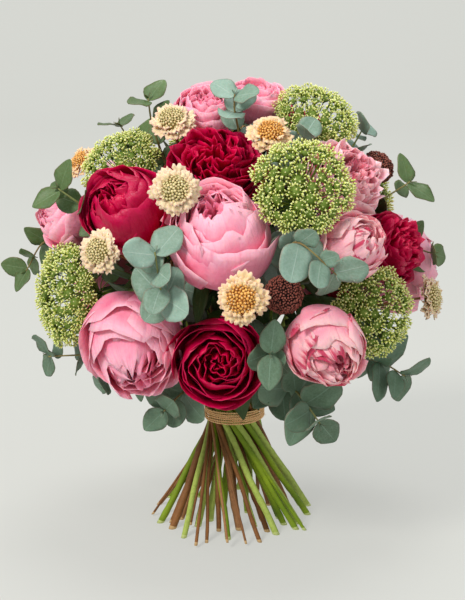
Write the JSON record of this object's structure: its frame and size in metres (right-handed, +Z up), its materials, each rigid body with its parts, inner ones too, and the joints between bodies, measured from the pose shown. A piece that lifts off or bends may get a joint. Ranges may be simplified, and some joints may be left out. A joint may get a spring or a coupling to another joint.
{
  "type": "bunch of peonies",
  "caption": "Hand-tied round bunch of peonies with green umbels, scabious, brown seed heads and eucalyptus, its spiralled stems bound with twine and standing on their cut ends.",
  "frame": {"origin": "on the floor under the middle of the bunch's bounding box", "axes": "+Z up along the bunch, from the cut stem ends to the flowers; the side made to be looked at faces -Y; +X to its right as the viewer sees it"},
  "size_m": [0.4452, 0.3646, 0.4495],
  "materials": {
    "stem": "satin",
    "twine": "matte",
    "petal_pink": "satin",
    "petal_blush": "satin",
    "petal_magenta": "satin",
    "floret_green": "matte",
    "scabious_cream": "matte",
    "scabious_apricot": "matte",
    "bract_brown": "matte",
    "eucalyptus_leaf": "matte"
  },
  "bodies": {
    "root": {"stems": "stem", "tie": "twine", "peony_01": "petal_pink", "peony_02": "petal_pink", "peony_03": "petal_blush", "peony_04": "petal_blush", "peony_05": "petal_blush", "peony_06": "petal_pink", "peony_07": "petal_pink", "peony_08": "petal_pink", "peony_09": "petal_pink", "peony_10": "petal_pink", "peony_11": "petal_blush", "peony_12": "petal_blush", "peony_13": "petal_pink", "peony_14": "petal_magenta", "peony_15": "petal_magenta", "peony_16": "petal_magenta", "peony_17": "petal_magenta", "peony_18": "petal_magenta", "peony_19": "petal_magenta", "peony_20": "petal_magenta", "umbel_01": "floret_green", "umbel_02": "floret_green", "umbel_03": "floret_green", "umbel_04": "floret_green", "umbel_05": "floret_green", "umbel_06": "floret_green", "umbel_07": "floret_green", "umbel_08": "floret_green", "scabious_01": "scabious_cream", "scabious_02": "scabious_cream", "scabious_03": "scabious_cream", "scabious_04": "scabious_apricot", "scabious_05": "scabious_apricot", "scabious_06": "scabious_apricot", "scabious_07": "scabious_cream", "scabious_08": "scabious_cream", "scabious_09": "scabious_apricot", "brown_head_01": "bract_brown", "brown_head_02": "bract_brown", "brown_head_03": "bract_brown", "eucalyptus_01": "eucalyptus_leaf", "eucalyptus_02": "eucalyptus_leaf", "eucalyptus_03": "eucalyptus_leaf", "eucalyptus_04": "eucalyptus_leaf", "eucalyptus_05": "eucalyptus_leaf", "eucalyptus_06": "eucalyptus_leaf", "eucalyptus_07": "eucalyptus_leaf", "eucalyptus_08": "eucalyptus_leaf", "eucalyptus_09": "eucalyptus_leaf", "eucalyptus_10": "eucalyptus_leaf", "eucalyptus_11": "eucalyptus_leaf", "eucalyptus_12": "eucalyptus_leaf", "eucalyptus_13": "eucalyptus_leaf", "eucalyptus_14": "eucalyptus_leaf", "eucalyptus_15": "eucalyptus_leaf", "eucalyptus_16": "eucalyptus_leaf", "eucalyptus_17": "eucalyptus_leaf", "eucalyptus_18": "eucalyptus_leaf"}
  },
  "joints": []
}
